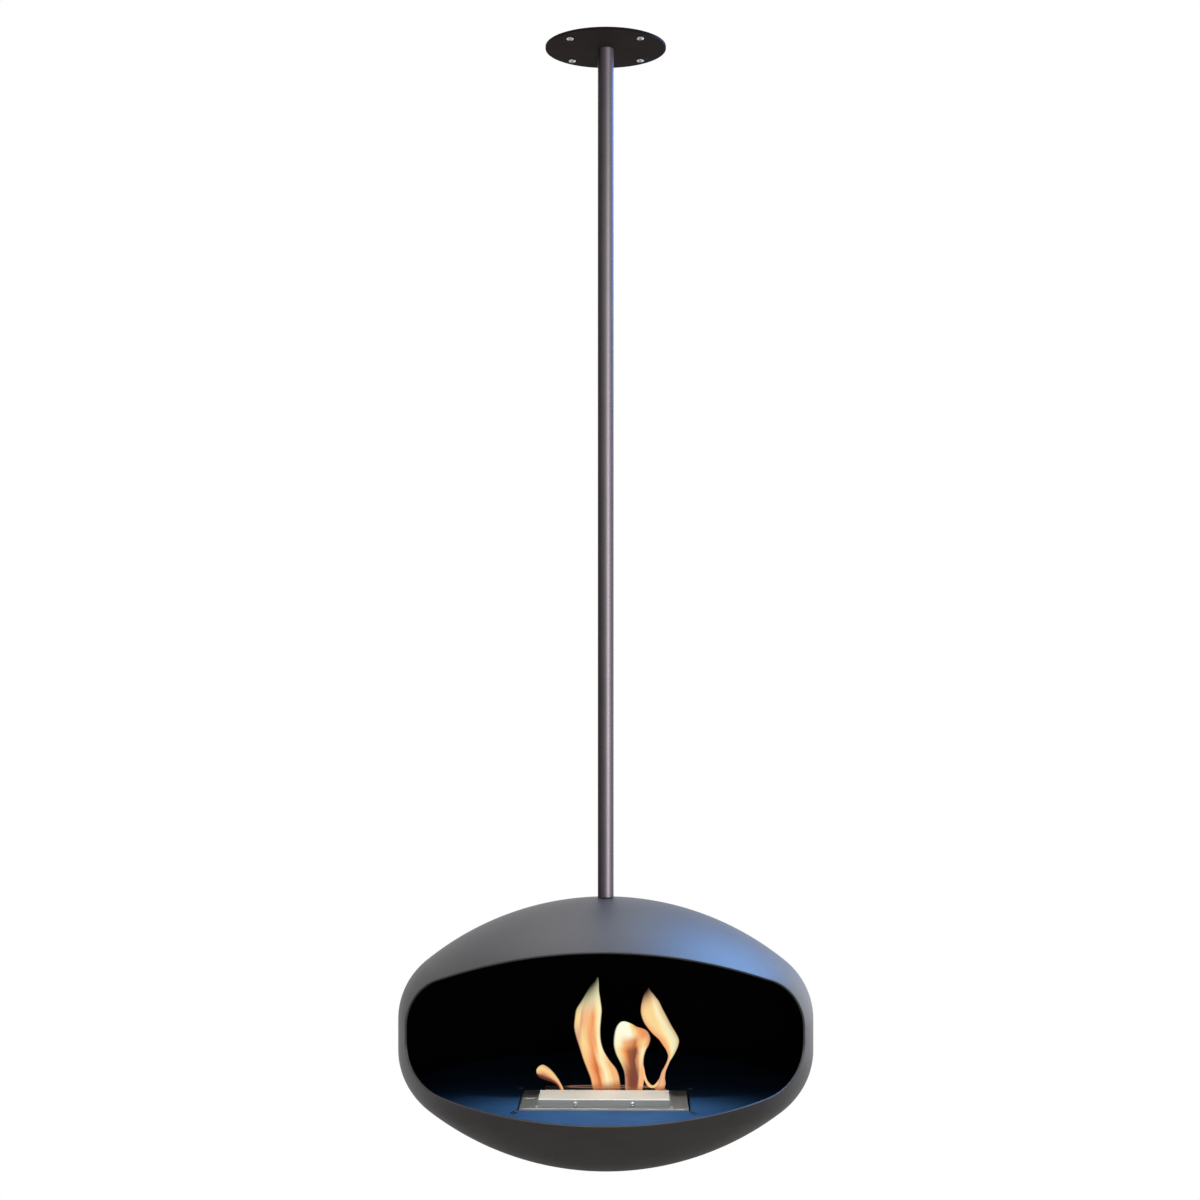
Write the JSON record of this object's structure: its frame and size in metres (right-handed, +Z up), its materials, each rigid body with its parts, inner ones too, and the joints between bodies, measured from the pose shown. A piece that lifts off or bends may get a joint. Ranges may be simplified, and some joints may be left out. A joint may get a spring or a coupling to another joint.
{
  "type": "suspended bioethanol fireplace",
  "caption": "Dished steel pod fireplace that hangs from a ceiling pole and turns on it, with a wide oval mouth, a flat deck and a lift-out burner under a sliding lid.",
  "frame": {"origin": "middle of the ceiling plate's top face, where it meets the ceiling", "axes": "+Z up, along the pole; the fireplace's mouth faces -Y at rest, and +X is to the right of someone facing the mouth"},
  "size_m": [0.6, 0.5817, 1.6227],
  "materials": {
    "coat_support": "satin black powder coat on the ceiling plate and pole",
    "coat_pod": "fine-textured satin charcoal powder coat",
    "coat_inside": "matt black heat-resistant coat",
    "coat_deck": "satin blue-black powder coat",
    "stainless": "brushed stainless steel",
    "stainless_lid": "brushed stainless steel, warmed by the flames",
    "polished_studs": "polished stainless steel",
    "plain_steel": "turned or folded steel, uncoated",
    "zinc_hardware": "zinc-plated steel",
    "black_screws": "blackened steel",
    "slip_plastic": "black low-friction plastic",
    "bronze": "sintered bronze",
    "ceramic_wool": "fibrous white ceramic wool, sooted at the slot"
  },
  "bodies": {
    "ceiling_support": {"ceiling_plate": "coat_support", "pole_spigot": "plain_steel", "pole": "coat_support", "pole_screws": "black_screws", "pole_foot": "plain_steel", "slip_washer": "slip_plastic", "thrust_washer": "plain_steel", "swivel_nut": "zinc_hardware", "lock_nut": "zinc_hardware"},
    "pod": {"upper_shell": "coat_pod", "lower_shell": "coat_pod", "seam_strip": "coat_inside", "crown_doubler": "coat_inside", "swivel_bush": "bronze", "swivel_cap": "coat_inside", "cap_screws": "zinc_hardware", "deck_ledge": "coat_inside", "deck": "coat_deck", "burner_cradle": "plain_steel", "deck_screws": "black_screws", "deck_nuts": "zinc_hardware"},
    "burner": {"burner_tray": "stainless", "burner_collar": "stainless", "fuel_box": "stainless", "wick_pad": "ceramic_wool", "lid_guides": "stainless"},
    "lid": {"burner_lid": "stainless_lid", "lid_studs": "polished_studs"}
  },
  "joints": [
    {"name": "pod_swivel", "type": "hinge", "parent": "ceiling_support", "child": "pod", "pos_m": [0, 0, -1.2366], "axis": [0, 0, 1], "continuous": true},
    {"name": "burner_lift", "type": "slide", "parent": "pod", "child": "burner", "axis": [0, 0, 1], "range_m": [0, 0.09]},
    {"name": "lid_slide", "type": "slide", "parent": "burner", "child": "lid", "axis": [0, 1, 0], "range_m": [0, 0.041]}
  ]
}
